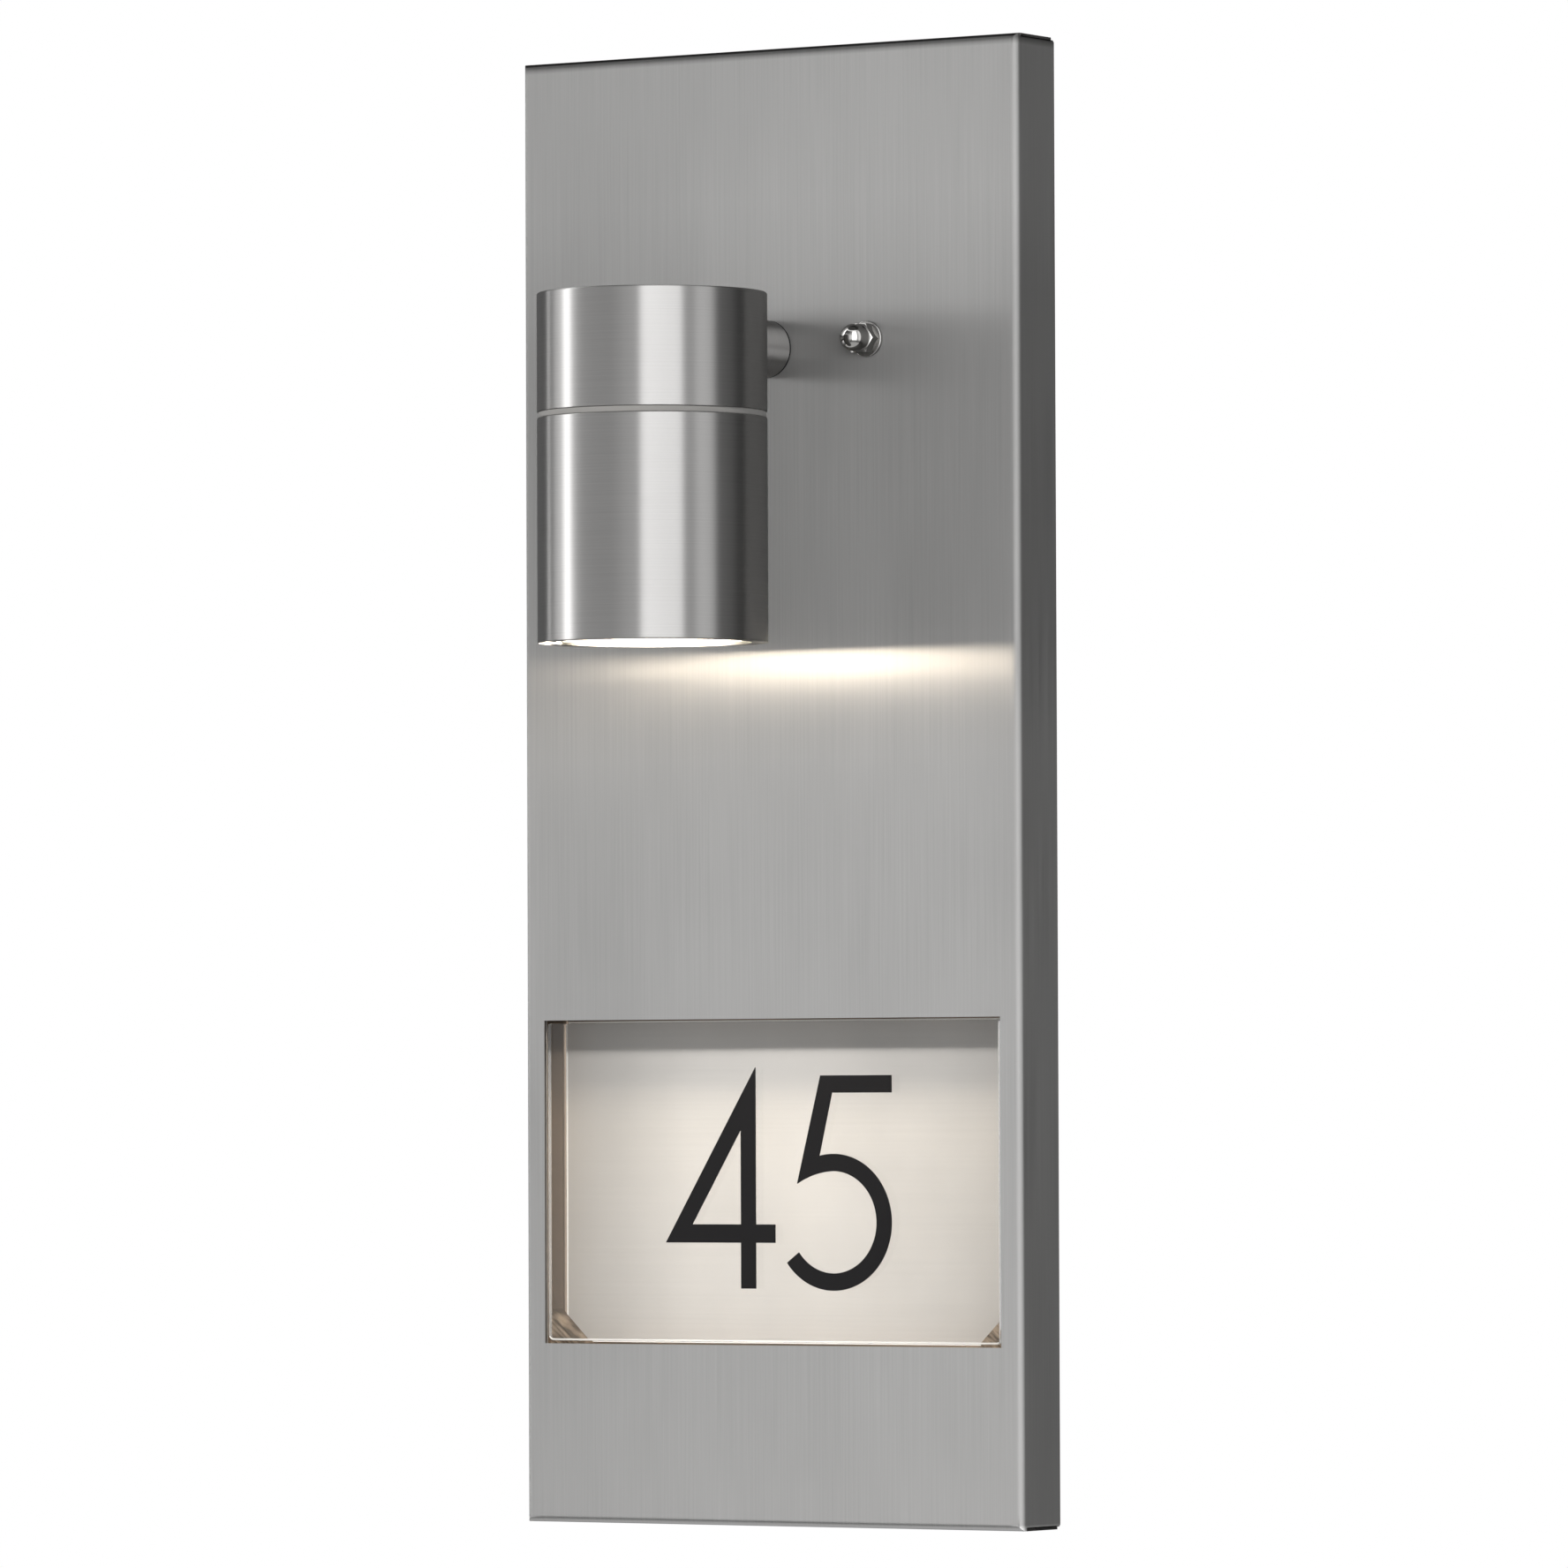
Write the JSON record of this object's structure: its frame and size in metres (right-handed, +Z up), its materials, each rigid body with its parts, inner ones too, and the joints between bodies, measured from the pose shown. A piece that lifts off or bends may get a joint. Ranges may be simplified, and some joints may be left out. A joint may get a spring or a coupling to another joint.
{
  "type": "house number sign light",
  "caption": "Wall sign with a folded steel face, a down-lit number window and a cylindrical lamp head on a short round arm.",
  "frame": {"origin": "on the wall, midway between the two wall studs, in the middle of the wall bracket's back", "axes": "+X to the viewer's right, +Y into the wall, +Z up; the face and the digits look along -Y"},
  "size_m": [0.163, 0.1095, 0.41],
  "materials": {
    "cover_steel": "stainless, brushed along the cover's length",
    "pan_steel": "stainless, brushed across",
    "head_steel": "stainless, turned and brushed round",
    "bright_steel": "stainless, polished",
    "zinc_steel": "zinc plated",
    "brass": "plain turned",
    "tinned_copper": "tinned",
    "clear_acrylic": "clear cast acrylic, polished edges",
    "clear_silicone": "clear silicone",
    "clear_glass": "clear toughened glass",
    "lamp_lens": "frosted lens, lit",
    "black_vinyl": "cut vinyl, satin",
    "white_plastic": "moulded",
    "lamp_white": "moulded, ribbed",
    "white_ceramic": "unglazed steatite",
    "black_rubber": "matt",
    "pale_silicone": "matt, pale grey",
    "green_lead": "green and yellow insulation",
    "grey_lead": "silicone insulation",
    "glass_sleeve": "woven glass sleeve"
  },
  "bodies": {
    "sign": {"face_cover": "cover_steel", "number_pane": "clear_acrylic", "number_pan": "pan_steel", "pan_studs": "bright_steel", "pan_nuts": "bright_steel", "pane_pads": "clear_silicone", "digit_4": "black_vinyl", "digit_5": "black_vinyl", "wall_bracket": "zinc_steel", "wall_studs": "bright_steel", "stud_washers": "bright_steel", "cap_nuts": "bright_steel", "cable_bush": "black_rubber", "terminal_block": "white_plastic", "terminal_barrels": "brass", "clamp_screws": "zinc_steel", "block_screws": "zinc_steel", "earth_ring": "tinned_copper", "earth_screw": "brass", "earth_lead": "green_lead", "supply_leads": "grey_lead", "arm_seal": "black_rubber"},
    "head": {"arm_tube": "head_steel", "nipple": "zinc_steel", "rear_washer": "zinc_steel", "rear_nut": "zinc_steel", "lead_bush": "white_plastic", "lead_sleeve": "glass_sleeve", "upper_housing": "head_steel", "head_washer": "zinc_steel", "head_nut": "zinc_steel", "holder_strap": "zinc_steel", "strap_screws": "zinc_steel", "holder_screws": "zinc_steel", "lampholder": "white_ceramic", "socket_leads": "grey_lead"},
    "gasket": {"joint_gasket": "pale_silicone"},
    "tube": {"lower_tube": "head_steel", "glass_seal": "pale_silicone", "front_glass": "clear_glass", "glass_clip": "bright_steel"},
    "lamp": {"lamp_body": "lamp_white", "lamp_lens": "lamp_lens", "lamp_pins": "tinned_copper"}
  },
  "joints": [
    {"name": "head_swivel", "type": "hinge", "parent": "sign", "child": "head", "pos_m": [0, -0.0205, -0.0015], "axis": [0, 1, 0], "range_deg": [-30, 30]},
    {"name": "tube_travel", "type": "slide", "parent": "head", "child": "gasket", "axis": [0, 0, -1], "range_m": [0, 0.006]},
    {"name": "tube_turn", "type": "hinge", "parent": "gasket", "child": "tube", "pos_m": [0, -0.078, -0.0238], "axis": [0, 0, -1], "range_deg": [0, 1080]},
    {"name": "lamp_twist", "type": "hinge", "parent": "head", "child": "lamp", "pos_m": [0, -0.078, -0.0274], "axis": [0, 0, -1], "range_deg": [0, 20]}
  ],
  "couplings": [
    {"joint": "tube_travel", "follows": "tube_turn", "m_per_rad": 0.0003183}
  ]
}
